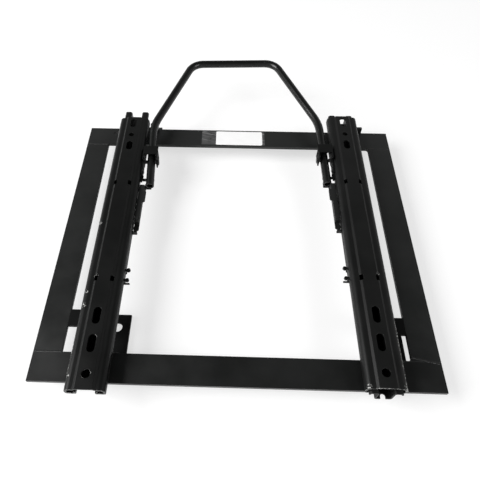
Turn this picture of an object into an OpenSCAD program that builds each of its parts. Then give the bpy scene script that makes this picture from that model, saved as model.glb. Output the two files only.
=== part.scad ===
// Seat slide rail set: a flat bar frame with two sliding seat rails,
// a lift bar that joins both lock levers, and the feet that bolt to the floor.
// X runs across the seat, +Y runs forward to the lift bar, +Z is up, the floor is z = 0.

/* [Frame] */
// Width of the bar frame across the seat
frame_w = 440; // [420:1:480]
// Depth of the bar frame, rear edge to front edge
frame_d = 385.5; // [380:0.5:420]
// Width of the side bars
side_bar_w = 31; // [28:0.5:36]
// Width of the front bar
front_bar_w = 32.5; // [29:0.5:38]
// Width of the rear bar
rear_bar_w = 33; // [30:0.5:38]
// Thickness of the flat bars
bar_t = 4.5; // [3:0.5:6]
// Clear height under the flat bars
frame_lift = 25; // [20:1:40]
// Diameter of the shallow punch mark in the front bar
witness_d = 5.5; // [3:0.5:8]
// Distance of the punch mark from the side of the frame
witness_inset = 38; // [20:1:44]
// Width of the straps that brace the lower rails
support_w = 20; // [12:1:24]
// Distance of the strap centre from the rear edge of the frame
support_inset = 74; // [55:1:90]

/* [Feet] */
// Thickness of the foot plates
foot_t = 4; // [3:0.5:5]
// Width of the front feet
front_foot_w = 35; // [28:1:40]
// Length of the floor flange on the front feet
front_foot_len = 28; // [24:1:36]
// Width of the left rear foot
rear_foot_w = 30; // [25:1:34]
// Width of the right rear foot
rear_foot_right_w = 45; // [30:1:48]
// Length of the floor flange on the rear feet
rear_foot_len = 64; // [56:1:70]
// How far the feet stand to the left of each rail centre
foot_left_reach = 3; // [0:0.5:6]
// Diameter of the bolt holes in the front feet
front_foot_hole_d = 11; // [8:0.5:12]
// Diameter of the bolt holes in the rear feet
rear_foot_hole_d = 12; // [8:0.5:13]
// Distance of the rear bolt hole from the tip of its foot
rear_foot_hole_inset = 16; // [14:0.5:22]
// Width of the upright ear on the front feet
ear_w = 11; // [8:0.5:14]
// Height of the upright ear above the front bar
ear_rise = 8; // [4:0.5:8]

/* [Lower rails] */
// Distance between the two rail centres
rail_cc = 302; // [290:1:306]
// Length of the lower rails
lower_len = 411; // [398:1:420]
// How far the lower rails stand out behind the frame
lower_overhang = 8; // [4:0.5:10]
// Sheet thickness of the lower rails
lower_t = 1.8; // [1.4:0.1:2]
// Inner width of the lower rail channel
channel_w = 14.6; // [13.6:0.1:15]
// Outer width over the two hooks of the lower rail
hook_span = 34.5; // [34:0.1:35]
// Height of the hooks above the frame
hook_top = 17.3; // [16.5:0.1:17.6]
// Lower edge of the turned-down hook wall above the frame
hook_edge = 12.8; // [12.5:0.1:13.4]
// Outer bend radius of the hooks
hook_r = 3; // [2.4:0.1:3.4]
// Distance from one lock notch to the next
notch_pitch = 10; // [9:0.5:12]
// Number of lock notches in each lower rail
notch_n = 17; // [8:1:18]
// Width of one lock notch along the rail
notch_w = 6.4; // [5:0.1:7.4]
// Width of the relief cut in the rear end of the channel floor
relief_w = 5.5; // [4:0.5:9]
// Depth of the relief cut in the rear end of the channel floor
relief_len = 5; // [4:0.5:12]

/* [Upper rails] */
// Length of the upper rails
upper_len = 398; // [394:1:402]
// How far the left upper rail stands out behind the frame
upper_overhang = 15; // [8:0.5:18]
// How far the right upper rail stands ahead of the left one
stagger = 10; // [0:1:12]
// Sheet thickness of the upper rails
upper_t = 2; // [1.6:0.1:2.2]
// Width of the upper rails
upper_w = 42; // [41:0.1:42.6]
// Height of the raised centre above the frame
upper_top = 25; // [24.5:0.1:26]
// Lower face of the inturned lips above the frame
lip_bottom = 10; // [9.6:0.1:10.4]
// Outer bend radius of the lower corners of the upper rail
upper_r = 3; // [2.6:0.1:3.2]
// Outer bend radius of the top corners of the upper rail
shoulder_r = 6; // [4:0.5:6.5]
// Width of the flat on the raised centre
crown_w = 18; // [16:0.5:19]
// Width at the foot of the raised centre
crown_foot_w = 23; // [22:0.5:24]
// Height of the raised centre above the shoulders
crown_rise = 2; // [1.8:0.1:2.2]
// Gap between the two inturned lips
lip_gap = 19.8; // [19.4:0.1:20.6]
// Height of the upturned edge of each lip
lip_curl = 4.5; // [3:0.1:4.7]

/* [Seat bolt holes] */
// Diameter of the round hole at the rear end
rear_hole_d = 9.5; // [6:0.5:11]
// Distance of the round hole from the rear end
rear_hole_at = 16; // [11:0.5:20]
// Width of the seat bolt slots
slot_w = 8.5; // [6:0.5:11]
// Length of the rear slots
rear_slot_len = 20; // [14:0.5:24]
// Distance of the rear slot centre from the rear end
rear_slot_at = 48.5; // [38:0.5:52]
// Distance between the two rear slots
rear_slot_pitch = 32; // [26:0.5:34]
// Length of the front slots
front_slot_len = 16.5; // [12:0.5:17]
// Distance of the foremost slot centre from the front end
front_slot_at = 13; // [11:0.5:14]
// Distance between the two front slots
front_slot_pitch = 45; // [36:0.5:50]
// Diameter of the small hole between the front slots
front_hole_d = 7; // [4:0.5:9]
// Distance of the small hole from the front end
front_hole_at = 37; // [33:0.5:38]

/* [Ball cages] */
// Ball diameter
ball_d = 3.5; // [3:0.05:3.5]
// Number of balls in one cage
ball_n = 4; // [2:1:5]
// Distance from one ball to the next
ball_pitch = 9.5; // [8:0.5:10]
// Length of one cage
cage_len = 42; // [36:0.5:44]
// Width of one cage
cage_w = 5.6; // [4.6:0.1:6]
// Thickness of one cage
cage_t = 2.4; // [1.6:0.1:2.5]
// Distance of the rear cages from the rear end of the upper rail
rear_cage_at = 64; // [58:0.5:65]
// Distance of the front cages from the rear end of the upper rail
front_cage_at = 338; // [330:0.5:342]
// Distance of the rear stop tongues from the rear end of the upper rail
rear_tongue_at = 127; // [126:0.5:130]
// Distance of the front stop tongues from the rear end of the upper rail
front_tongue_at = 272; // [268:0.5:274]

/* [Lift bar] */
// Outer diameter of the lift bar tube
tube_d = 11; // [9:0.1:11.2]
// Wall of the lift bar tube
tube_wall = 1.5; // [1:0.1:2.5]
// Distance between the two legs at their pins
leg_cc = 238; // [235:0.5:239]
// Length of each leg behind its pin
leg_back = 40; // [38:0.5:44]
// Length of each leg ahead of its pin, to the corner
leg_front = 66.5; // [56:0.5:80]
// Reach of the cross grip ahead of the pins
bow_reach = 192; // [170:1:220]
// Distance between the two corners of the grip
grip_w = 127; // [90:1:150]
// Bend radius at the grip corners
grip_r = 24; // [16:0.5:36]
// Bend radius at the leg corners
leg_r = 70; // [40:1:90]
// Rise of the lift bar towards the grip, in degrees
bar_tilt = 6; // [4:0.5:8]
// Height of the pins above the frame
pin_z = 15; // [14.6:0.1:16]
// Distance of the pins from the rear end of the upper rail
pin_at = 318; // [314:0.5:320]
// Diameter of the pins
pin_d = 5; // [4:0.1:5.4]
// Play between a pin and the bore in the tube
pin_play = 0.5; // [0.4:0.05:0.7]
// Diameter of the stop studs in the legs
stud_d = 4; // [3:0.1:4.4]
// Distance of the stop studs behind the pins
stud_back = 30; // [28:0.5:33]

/* [Lock levers] */
// Sheet thickness of the levers
lever_t = 1.8; // [1.4:0.1:2]
// Width of the lever top
lever_w = 6.6; // [6.2:0.1:7.4]
// Length of the lever body
lever_len = 74; // [70:0.5:76]
// Distance of the lever body from the rear end of the upper rail
lever_at = 202; // [200:0.5:204]
// Distance of the hinge line inside the flank of the upper rail
hinge_in = 2; // [1.8:0.1:2.4]
// Height of the hinge line above the frame
hinge_z = 7; // [6.8:0.1:7.2]
// Underside of the lever top above the frame
tooth_z = 14.2; // [14:0.1:14.6]
// Number of lock teeth
tooth_n = 3; // [1:1:4]
// Width of one lock tooth
tooth_w = 6; // [4:0.1:6.4]
// Distance of the first tooth from the rear end of the upper rail
tooth_at = 228; // [222:0.5:232]
// Rest gap between the teeth and the notched wall
tooth_gap = 0.4; // [0.3:0.05:0.8]
// Length of the rounded finger tab
nose_len = 19; // [10:0.5:20]
// How far the finger tab stands out from the lever
nose_out = 3.4; // [1.5:0.1:4]
// Length of the push finger under the leg
arm_len = 8; // [6:0.5:9]
// Width of the push finger
arm_w = 9; // [7:0.1:10]
// Top of the push finger above the frame
arm_z = 4.4; // [3.4:0.1:4.6]
// Diameter of the torsion rods
rod_d = 2.4; // [2:0.1:2.5]
// Distance of the rod hook from the rear end of the upper rail
rod_hook_at = 130; // [129:0.5:132]

/* [Label] */
// Length of the blank sticker on the front bar
label_w = 68; // [40:1:80]
// Height of the blank sticker
label_h = 28; // [15:0.5:28.5]
// Thickness of the sticker and its tape
label_t = 0.2; // [0.1:0.05:0.4]
// Length of the clear tape beside the sticker
tape_w = 21; // [8:1:26]
// Distance of the sticker edge from the frame centre, to the left
label_left = 32; // [0:1:40]

/* [Hidden] */
$fn = 48;

LEFT = -1;
RIGHT = 1;
cut = 1;              // overshoot of a cutting tool past the face it cuts
paint = "#26282a";
zinc = "#8a8d90";

frame_top = frame_lift + bar_t;
front_edge = frame_d / 2;
rear_edge = -frame_d / 2;
inner_d = frame_d - front_bar_w - rear_bar_w;
side_mid_y = (rear_bar_w - front_bar_w) / 2;
support_y = rear_edge + support_inset;
witness_depth = 0.4;
label_gap = 2.2;

// Upper rail section
shoulder = upper_top - crown_rise;
flank_in = upper_w / 2 - upper_t;
upper_rear = rear_edge - upper_overhang;

// Lower rail section
lower_rear = rear_edge - lower_overhang;
channel_out = channel_w / 2 + lower_t;
hook_out = hook_span / 2;
ball_x = (channel_w / 2 + hook_out) / 2;
ball_z = (hook_top + shoulder - upper_t) / 2;
notch_z = (hook_edge + hook_top) / 2;
notch_h = 2.8;
first_notch = upper_rear + tooth_at - 7 * notch_pitch;

// Rivets
rivet_d = 6;
rivet_head_d = 10.5;
rivet_head_h = 2.4;
bracket_rivet_d = 4;
bracket_rivet_head = 7;
bracket_rivet_h = 1.2;
bracket_rivet_pitch = 34;

// Lift bar set out in its own plane, pins on the x axis
skew = atan2(stagger, leg_cc);
leg_x = leg_cc / 2 / cos(skew);
grip_x = grip_w / 2;
bow_turn = atan2(leg_x - grip_x, bow_reach - leg_front);
leg_tan = leg_r * tan(bow_turn / 2);
grip_tan = grip_r * tan((90 - bow_turn) / 2);
bow_side = norm([leg_x - grip_x, bow_reach - leg_front]) - leg_tan - grip_tan;
bend_lap = 1;
bend_rise = 0.12;
pin_y = upper_rear + pin_at;
bar_mid_y = pin_y + stagger / 2;
leg_inset = rail_cc / 2 - leg_cc / 2;

// Bracket over the leg, measured inward from the rail centre
flank = upper_w / 2;
bracket_t = 1.8;
bracket_play = 1.5;
leg_side = leg_inset + tube_d / 2;
bracket_in = leg_side + bracket_play;
bridge_z = pin_z + tube_d / 2 + 4.1;
bridge_at = pin_at + 5;
bridge_len = 15;
cheek_at = pin_at - 4.5;
cheek_low = pin_z - 6;
tail_at = pin_at - stud_back - 4;
stud_z = pin_z - stud_back * sin(bar_tilt);
stop_gap = 0.3;
stud_stop = bracket_t + 0.4;
tail_len = 8;
tail_tab = bracket_t + 1.5;
plate_h = 9.5;

// Lock lever
lever_gap = 0.4;
hinge_x = flank - hinge_in;
lever_top = tooth_z + lever_t;
tooth_tip = hook_out + tooth_gap;
ear_t = 2;
ear_r = 2.2;
rod_play = 0.1;
rod_ear_inset = 8;
hook_ear_inset = 2;
hook_ear_pitch = 12;
hook_reach = 7;
lug_d = 4.6;
lug_h = 2.4;
lug_out = 3.3;
lug_z = 13.4;
lug_places = [rod_hook_at + 0.6, rod_hook_at + 14];
step_len = 12;
step_z = hinge_z + 2;
step_cut = 4;
boss_d = 5;
boss_h = 0.8;
boss_at = 18;
arm_run = 3;
nose_inset = 10;
run_w = 2;
window_h = 5;
window_play = 1;

// Centre of the whole part along Y, so that the origin lies under its middle
bar_front = bar_mid_y + cos(skew) * bow_reach * cos(bar_tilt) + sin(skew) * (grip_x - grip_tan) + tube_d / 2;
datum_y = (upper_rear + bar_front) / 2;

// Puts the frame's own centre where the origin of the part wants it
module in_frame() {
    translate([0, -datum_y, 0]) children();
}

// Rail coordinates: x inward from the rail centre, y along the frame, z from the frame top
module on_rail(side, y = 0) {
    in_frame()
        translate([side * rail_cc / 2, y, frame_top])
            mirror([side == RIGHT ? 1 : 0, 0, 0])
                children();
}

// Upper rail coordinates: y from the rear end of that upper rail
module on_upper(side) {
    on_rail(side, upper_rear + (side == RIGHT ? stagger : 0)) children();
}

module along_y(length) {
    translate([0, length, 0]) rotate([90, 0, 0]) linear_extrude(length) children();
}

module across_x(diameter, length) {
    rotate([0, 90, 0]) cylinder(d = diameter, h = length);
}

module round_rect(x0, y0, x1, y1, r) {
    translate([x0 + r, y0]) square([x1 - x0 - 2 * r, y1 - y0]);
    translate([x0, y0 + r]) square([x1 - x0, y1 - y0 - 2 * r]);
    for (x = [x0 + r, x1 - r], y = [y0 + r, y1 - r])
        translate([x, y]) circle(r);
}

module slot_cut(width, length, depth) {
    for (s = [-1, 1])
        translate([0, s * (length - width) / 2, -depth / 2]) cylinder(d = width, h = depth);
    translate([-width / 2, -(length - width) / 2, -depth / 2]) cube([width, length - width, depth]);
}

module bar(x0, y0, x1, y1) {
    in_frame() translate([x0, y0, frame_lift]) cube([x1 - x0, y1 - y0, bar_t]);
}

// Frame

module front_bar() color(paint)
    difference() {
        bar(-frame_w / 2, front_edge - front_bar_w, frame_w / 2, front_edge);
        in_frame() {
            translate([-frame_w / 2 + witness_inset, front_edge - front_bar_w / 3, frame_top - witness_depth])
                cylinder(d = witness_d, h = witness_depth + cut);
            for (side = [LEFT, RIGHT])
                translate([side * rail_cc / 2, front_edge - front_bar_w / 2, frame_lift - cut])
                    cylinder(d = rivet_d, h = bar_t + 2 * cut);
        }
    }

module rear_bar() color(paint)
    difference() {
        bar(-frame_w / 2, rear_edge, frame_w / 2, rear_edge + rear_bar_w);
        in_frame()
            for (side = [LEFT, RIGHT])
                translate([side * rail_cc / 2, rear_edge + rear_bar_w / 2, frame_lift - cut])
                    cylinder(d = rivet_d, h = bar_t + 2 * cut);
    }

module side_bar(side) color(paint) {
    x0 = side == LEFT ? -frame_w / 2 : frame_w / 2 - side_bar_w;
    bar(x0, rear_edge + rear_bar_w, x0 + side_bar_w, front_edge - front_bar_w);
}

// Short strap from the side bar to the underside of the lower rail
module support(side) color(paint) {
    reach = frame_w / 2 - side_bar_w - rail_cc / 2;
    difference() {
        on_rail(side)
            translate([-reach, support_y - support_w / 2, -bar_t])
                cube([reach + channel_out, support_w, bar_t]);
        on_rail(side)
            translate([0, support_y, -bar_t - cut]) cylinder(d = rivet_d, h = bar_t + 2 * cut);
    }
}

// Front foot: floor flange ahead of the bar, riser on its front face, upright ear beside the rail
module front_foot(side) color(paint) {
    x0 = side * rail_cc / 2 - foot_left_reach;
    difference() {
        in_frame() translate([x0, front_edge, 0]) {
            cube([front_foot_w, foot_t, frame_top]);
            cube([front_foot_w, foot_t + front_foot_len, foot_t]);
            translate([front_foot_w - ear_w, 0, frame_top - cut]) cube([ear_w, foot_t, ear_rise + cut]);
        }
        in_frame()
            translate([x0 + front_foot_w / 2, front_edge + foot_t + front_foot_len / 2, -cut])
                cylinder(d = front_foot_hole_d, h = foot_t + 2 * cut);
    }
}

// Rear foot: a long floor flange that runs forward, a riser and a flange under the rear bar
module rear_foot(side) color(paint) {
    x0 = side * rail_cc / 2 - foot_left_reach;
    y0 = rear_edge + rear_bar_w - foot_t - 2;
    w = side == RIGHT ? rear_foot_right_w : rear_foot_w;
    difference() {
        in_frame() translate([x0, y0, 0]) {
            cube([w, rear_foot_len, foot_t]);
            cube([w, foot_t, frame_lift]);
            translate([0, foot_t + 2 - rear_bar_w + foot_t, frame_lift - foot_t])
                cube([w, rear_bar_w - foot_t - 2, foot_t]);
        }
        in_frame()
            translate([x0 + rear_foot_w / 2, y0 + rear_foot_len - rear_foot_hole_inset, -cut])
                cylinder(d = rear_foot_hole_d, h = foot_t + 2 * cut);
        on_rail(side)
            translate([0, rear_edge + rear_bar_w / 2, -bar_t - foot_t - cut])
                cylinder(d = rivet_head_d + 1, h = foot_t + cut);
    }
}

module label() color("white")
    in_frame()
        translate([-label_left, front_edge - label_h - label_gap, frame_top])
            cube([label_w, label_h, label_t]);

module label_tape() color("#c8c9c8")
    in_frame()
        translate([-label_left - tape_w, front_edge - label_h - label_gap, frame_top])
            cube([tape_w, label_h, label_t]);

// Lower rails

module hook_section() {
    difference() {
        round_rect(channel_w / 2, lower_t, hook_out, hook_top, hook_r);
        round_rect(channel_out, 0, hook_out - lower_t, hook_top - lower_t, hook_r - lower_t);
        translate([channel_out, 0]) square([hook_out, hook_edge]);
    }
}

module lower_section() {
    difference() {
        round_rect(-channel_out, 0, channel_out, hook_top - hook_r, lower_t + 0.7);
        round_rect(-channel_w / 2, lower_t, channel_w / 2, hook_top + hook_r, 0.7);
    }
    hook_section();
    mirror([1, 0]) hook_section();
}

module lower_rail(side) color(paint)
    on_rail(side)
        difference() {
            translate([0, lower_rear, 0]) along_y(lower_len) lower_section();
            for (k = [0 : notch_n - 1])
                translate([
                    hook_out - lower_t - 0.5, first_notch + k * notch_pitch - notch_w / 2, notch_z - notch_h / 2
                ])
                    cube([lower_t + 1.5, notch_w, notch_h]);
            translate([0, lower_rear, lower_t / 2]) slot_cut(relief_w, 2 * relief_len, lower_t + cut);
            for (y = rivet_places())
                translate([0, y, -cut]) cylinder(d = rivet_d, h = lower_t + 2 * cut);
        }

function rivet_places() = [rear_edge + rear_bar_w / 2, support_y, front_edge - front_bar_w / 2];

module rail_rivets(side) color(zinc)
    on_rail(side)
        for (y = rivet_places())
            translate([0, y, 0]) {
                translate([0, 0, -bar_t]) cylinder(d = rivet_d, h = bar_t + lower_t);
                translate([0, 0, lower_t]) cylinder(d1 = rivet_head_d, d2 = rivet_head_d - 3, h = rivet_head_h);
                translate([0, 0, -bar_t - rivet_head_h])
                    cylinder(d1 = rivet_head_d - 3, d2 = rivet_head_d, h = rivet_head_h);
            }

// Upper rails

module crown(top, foot_w, head_w, base) {
    polygon([
        [-foot_w / 2, base - upper_t], [foot_w / 2, base - upper_t], [foot_w / 2, base],
        [head_w / 2, top], [-head_w / 2, top], [-foot_w / 2, base]
    ]);
}

// Outline with its own radius for the lower and the top corners
module rail_outline(w, low, high, low_r, high_r) {
    translate([low_r - w / 2, low]) square([w - 2 * low_r, low_r + 1]);
    translate([-w / 2, low + low_r]) square([w, high - high_r - low - low_r]);
    translate([high_r - w / 2, high - high_r - 1]) square([w - 2 * high_r, high_r + 1]);
    for (s = [-1, 1]) {
        translate([s * (w / 2 - low_r), low + low_r]) circle(low_r);
        translate([s * (w / 2 - high_r), high - high_r]) circle(high_r);
    }
}

module upper_section() {
    slope = upper_t * 0.4;
    difference() {
        union() {
            rail_outline(upper_w, lip_bottom, shoulder, upper_r, shoulder_r);
            crown(upper_top, crown_foot_w, crown_w, shoulder);
        }
        rail_outline(
            2 * flank_in, lip_bottom + upper_t, shoulder - upper_t, upper_r - upper_t, shoulder_r - upper_t
        );
        crown(upper_top - upper_t, crown_foot_w - slope, crown_w - slope, shoulder - upper_t);
        translate([-lip_gap / 2, lip_bottom - cut]) square([lip_gap, upper_t + 2 * cut]);
    }
    for (s = [-1, 1])
        translate([s * (lip_gap + upper_t) / 2 - upper_t / 2, lip_bottom]) square([upper_t, lip_curl]);
}

// Tongue pressed down out of the crown edge, and the hole that it leaves
tongue_w = 4;
tongue_hole = 7;
tongue_t = 1.8;
tongue_x = crown_w / 2 + 0.2;
tongue_low = ball_z - cage_t / 2;

module tongue_hole(y) {
    for (s = [-1, 1])
        translate([s * tongue_x - tongue_w / 2, y - tongue_hole / 2, shoulder - upper_t - cut])
            cube([tongue_w, tongue_hole, upper_t + crown_rise + 2 * cut]);
}

module tongues(y, facing) {
    edge = y + facing * (tongue_hole / 2 + tongue_t / 2);
    for (s = [-1, 1])
        translate([s * tongue_x - tongue_w / 2, edge - tongue_t / 2, tongue_low])
            cube([tongue_w, tongue_t, shoulder - upper_t / 2 - tongue_low]);
}

// Ears that hang from the inner lip to carry the torsion rod
function rod_ears() = [
    rod_hook_at + hook_ear_inset, rod_hook_at + hook_ear_inset + hook_ear_pitch,
    lever_at + rod_ear_inset, lever_at + lever_len - rod_ear_inset
];

module rod_ear(y) {
    r = rod_d / 2 + 1.1;
    root = lip_bottom + upper_t * 0.6;
    translate([0, y + ear_t, 0]) rotate([90, 0, 0]) linear_extrude(ear_t)
        difference() {
            union() {
                translate([hinge_x, hinge_z]) circle(r);
                polygon([
                    [hinge_x - r, hinge_z], [hinge_x + r, hinge_z], [hinge_x + 0.6, root], [hinge_x - r, root]
                ]);
            }
            translate([hinge_x, hinge_z]) circle(d = rod_d);
        }
}

// Round lug on the inner flank beside the hooked end of the rod
module rod_lug(y) {
    translate([flank + lug_out, y, lug_z]) cylinder(d = lug_d, h = lug_h);
    translate([flank - upper_t / 2, y - lug_h / 2, lug_z]) cube([lug_out + upper_t / 2, lug_h, lug_h]);
}

module upper_rail(side) color(paint)
    on_upper(side)
        difference() {
            union() {
                difference() {
                    along_y(upper_len) upper_section();
                    tongue_hole(rear_tongue_at);
                    tongue_hole(front_tongue_at);
                }
                tongues(rear_tongue_at, -1);
                tongues(front_tongue_at, 1);
                for (y = rod_ears()) rod_ear(y);
                for (y = lug_places) rod_lug(y);
            }
            translate([0, rear_hole_at, upper_top - upper_t - cut])
                cylinder(d = rear_hole_d, h = upper_t + 2 * cut);
            for (k = [0, 1])
                translate([0, rear_slot_at + k * rear_slot_pitch, upper_top - upper_t / 2])
                    slot_cut(slot_w, rear_slot_len, upper_t + 2 * cut);
            for (k = [0, 1])
                translate([0, upper_len - front_slot_at - k * front_slot_pitch, upper_top - upper_t / 2])
                    slot_cut(slot_w, front_slot_len, upper_t + 2 * cut);
            translate([0, upper_len - front_hole_at, upper_top - upper_t - cut])
                cylinder(d = front_hole_d, h = upper_t + 2 * cut);
            for (k = [0 : tooth_n - 1])
                translate([
                    flank_in - upper_t, tooth_at + k * notch_pitch - tooth_w / 2 - window_play, tooth_z - 0.6
                ])
                    cube([2 * upper_t + cut, tooth_w + 2 * window_play, window_h]);
            for (y = bracket_rivet_places())
                translate([flank_in - cut, y, bracket_rivet_z]) across_x(bracket_rivet_d, upper_t + 2 * cut);
        }

bracket_rivet_z = lip_bottom + upper_r + 4;

function bracket_rivet_places() = [
    bridge_at + bridge_len - 5, bridge_at + bridge_len - 5 - bracket_rivet_pitch
];

// Bracket that holds the leg: a back plate on the flank, a bridge over the leg and a cheek
module bar_bracket(side) color(paint)
    on_upper(side)
        difference() {
            union() {
                translate([flank, tail_at, cheek_low + 2])
                    cube([bracket_t, tail_len + 1, stud_z + stud_d / 2 + stop_gap + bracket_t - cheek_low - 2]);
                translate([flank, tail_at + tail_len, cheek_low + 2])
                    cube([bracket_t, bridge_at + bridge_len - tail_at - tail_len, plate_h]);
                translate([flank, cheek_at, cheek_low])
                    cube([bracket_t, bridge_at + bridge_len - cheek_at, bridge_z + bracket_t - cheek_low]);
                translate([flank, bridge_at, bridge_z])
                    cube([bracket_in + bracket_t - flank, bridge_len, bracket_t]);
                translate([bracket_in, cheek_at, cheek_low])
                    cube([bracket_t, bridge_at + bridge_len - cheek_at - 6, bridge_z + bracket_t - cheek_low]);
                translate([flank, tail_at, stud_z + stud_d / 2 + stop_gap])
                    cube([tail_tab, tail_len, bracket_t]);
            }
            translate([flank - cut, pin_at, pin_z]) across_x(pin_d, bracket_in - flank + bracket_t + 2 * cut);
            for (y = bracket_rivet_places())
                translate([flank - cut, y, bracket_rivet_z]) across_x(bracket_rivet_d, bracket_t + 2 * cut);
        }

module bracket_rivets(side) color(zinc)
    on_upper(side)
        for (y = bracket_rivet_places())
            translate([flank_in, y, bracket_rivet_z]) {
                across_x(bracket_rivet_d, upper_t + bracket_t);
                translate([upper_t + bracket_t, 0, 0]) across_x(bracket_rivet_head, bracket_rivet_h);
            }

module bar_pin(side) color(zinc)
    on_upper(side)
        translate([flank, pin_at, pin_z]) {
            across_x(pin_d, bracket_in + bracket_t - flank);
            translate([bracket_in + bracket_t - flank, 0, 0]) across_x(pin_d + 3, 1.6);
        }

// Torsion rod on the hinge line of the lever, hooked outward behind its last ear
module torsion_rod(side) color(zinc)
    on_upper(side) {
        front = lever_at + lever_len + 1.5;
        translate([hinge_x, front, hinge_z]) rotate([90, 0, 0]) cylinder(d = rod_d, h = front - rod_hook_at);
        translate([hinge_x, rod_hook_at, hinge_z]) sphere(d = rod_d);
        translate([hinge_x, rod_hook_at, hinge_z]) across_x(rod_d, hook_reach);
    }

// Lift bar

module tube_run(x, y, heading, length, d, back = bend_lap, ahead = bend_lap) {
    translate([x, y, 0]) rotate([0, 0, heading]) translate([0, -back, 0])
        rotate([-90, 0, 0]) cylinder(d = d, h = length + back + ahead);
}

// A bend stands a hair proud of the straights, which run a little way into it
module tube_bend(x, y, r, from, turn, d) {
    translate([x, y, 0]) rotate([0, 0, from])
        rotate_extrude(angle = turn) translate([r, 0]) circle(d = d + bend_rise);
}

// One half of the bow as a round bar of diameter d, from the end of the leg to the start of the grip
module half_bow(d, spare = 0) {
    leg_end = leg_front - leg_tan;
    bend_x = leg_x - leg_r;
    side_x = bend_x + leg_r * cos(bow_turn);
    side_y = leg_end + leg_r * sin(bow_turn);
    tube_run(leg_x, -leg_back, 0, leg_back + leg_end, d, spare);
    tube_bend(bend_x, leg_end, leg_r, 0, bow_turn, d);
    tube_run(side_x, side_y, bow_turn, bow_side, d);
    tube_bend(grip_x - grip_tan, bow_reach - grip_r, grip_r, bow_turn, 90 - bow_turn, d);
}

module bow(d, spare = 0) {
    half_bow(d, spare);
    mirror([1, 0, 0]) half_bow(d, spare);
    tube_run(grip_x - grip_tan, bow_reach, 90, 2 * (grip_x - grip_tan), d);
}

// Places the plane of the lift bar: pins on its x axis, grip ahead and above
module in_bar() {
    in_frame()
        translate([0, bar_mid_y, frame_top + pin_z])
            rotate([0, 0, skew]) rotate([bar_tilt, 0, 0]) children();
}

module lift_bar() color(paint)
    in_bar()
        difference() {
            bow(tube_d);
            bow(tube_d - 2 * tube_wall, cut);
            for (s = [-1, 1])
                translate([s * leg_x - tube_d, 0, 0]) across_x(pin_d + 2 * pin_play, 2 * tube_d);
            for (s = [-1, 1])
                translate([s * leg_x - tube_d, -stud_back, 0]) across_x(stud_d, 2 * tube_d);
        }

// Cross studs in the legs that stop under the bracket tail
module stop_studs() color(zinc)
    in_bar()
        for (s = [-1, 1]) {
            reach = (s * (rail_cc / 2 - flank - stud_stop) - stud_back * cos(bar_tilt) * sin(skew)) / cos(skew);
            x0 = s * (leg_x - tube_d / 2);
            translate([min(x0, reach), -stud_back, 0]) across_x(stud_d, abs(reach - x0));
        }

// Lock levers

module lever_ear(y, top) {
    translate([0, y + ear_t, 0]) rotate([90, 0, 0]) linear_extrude(ear_t)
        difference() {
            union() {
                translate([hinge_x, hinge_z]) circle(ear_r);
                polygon([
                    [hinge_x, hinge_z - ear_r], [flank + lever_w - step_cut / 2, hinge_z - ear_r],
                    [flank + lever_w - step_cut / 2, top], [flank + lever_gap, top],
                    [flank + lever_gap, lip_bottom - lever_gap], [hinge_x, hinge_z + ear_r]
                ]);
            }
            translate([hinge_x, hinge_z]) circle(d = rod_d + 2 * rod_play);
        }
}

// Top plate, stepped down and cut off at its rear corner, with teeth, finger tab and push finger
module lock_lever(side) color(paint)
    on_upper(side) {
        front = lever_at + lever_len;
        edge = flank + lever_w;
        translate([flank + lever_gap, lever_at + step_len, tooth_z])
            cube([lever_w - lever_gap, lever_len - step_len, lever_t]);
        translate([0, 0, step_z]) linear_extrude(lever_t)
            polygon([
                [flank + lever_gap, lever_at], [edge - step_cut, lever_at], [edge, lever_at + step_cut],
                [edge, lever_at + step_len + lever_t], [flank + lever_gap, lever_at + step_len + lever_t]
            ]);
        translate([flank + lever_gap, lever_at + step_len, step_z])
            cube([lever_w - lever_gap, lever_t, lever_top - step_z]);
        translate([edge - lever_w / 2, lever_at + boss_at, lever_top]) cylinder(d = boss_d, h = boss_h);
        for (k = [0 : tooth_n - 1])
            translate([tooth_tip, tooth_at + k * notch_pitch - tooth_w / 2, tooth_z])
                cube([flank + lever_w / 2 - tooth_tip, tooth_w, lever_t]);
        translate([edge - lever_t, lever_at + step_len, step_z])
            cube([lever_t, lever_len - step_len, lever_top - step_z]);
        lever_ear(lever_at, step_z + lever_t);
        lever_ear(front - ear_t, lever_top);
        translate([edge - lever_t, front - nose_inset - nose_len, tooth_z])
            linear_extrude(lever_t)
                round_rect(0, 0, lever_t + nose_out, nose_len, nose_out * 0.7);
        translate([edge - run_w, front - ear_t, arm_z - lever_t])
            cube([run_w, ear_t, step_z + lever_t - arm_z + lever_t]);
        translate([edge - run_w, front - ear_t, arm_z - lever_t])
            cube([run_w, ear_t + arm_run + arm_len, lever_t]);
        translate([edge - run_w, front + arm_run, arm_z - lever_t])
            cube([arm_w, arm_len, lever_t]);
    }

// Balls and cages

module at_cages(side) {
    for (y = [rear_cage_at, front_cage_at], s = [-1, 1])
        on_upper(side) translate([s * ball_x, y, ball_z]) children();
}

function ball_places() = [for (k = [0 : ball_n - 1]) (k - (ball_n - 1) / 2) * ball_pitch];

module ball_cages(side) color("#d9d6c8")
    at_cages(side)
        difference() {
            translate([-cage_w / 2, -cage_len / 2, -cage_t / 2]) cube([cage_w, cage_len, cage_t]);
            for (y = ball_places())
                translate([0, y, -cage_t]) cylinder(d = ball_d + 0.3, h = 2 * cage_t);
        }

module rail_balls(side) color("silver")
    at_cages(side)
        for (y = ball_places()) translate([0, y, 0]) sphere(d = ball_d);

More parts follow.
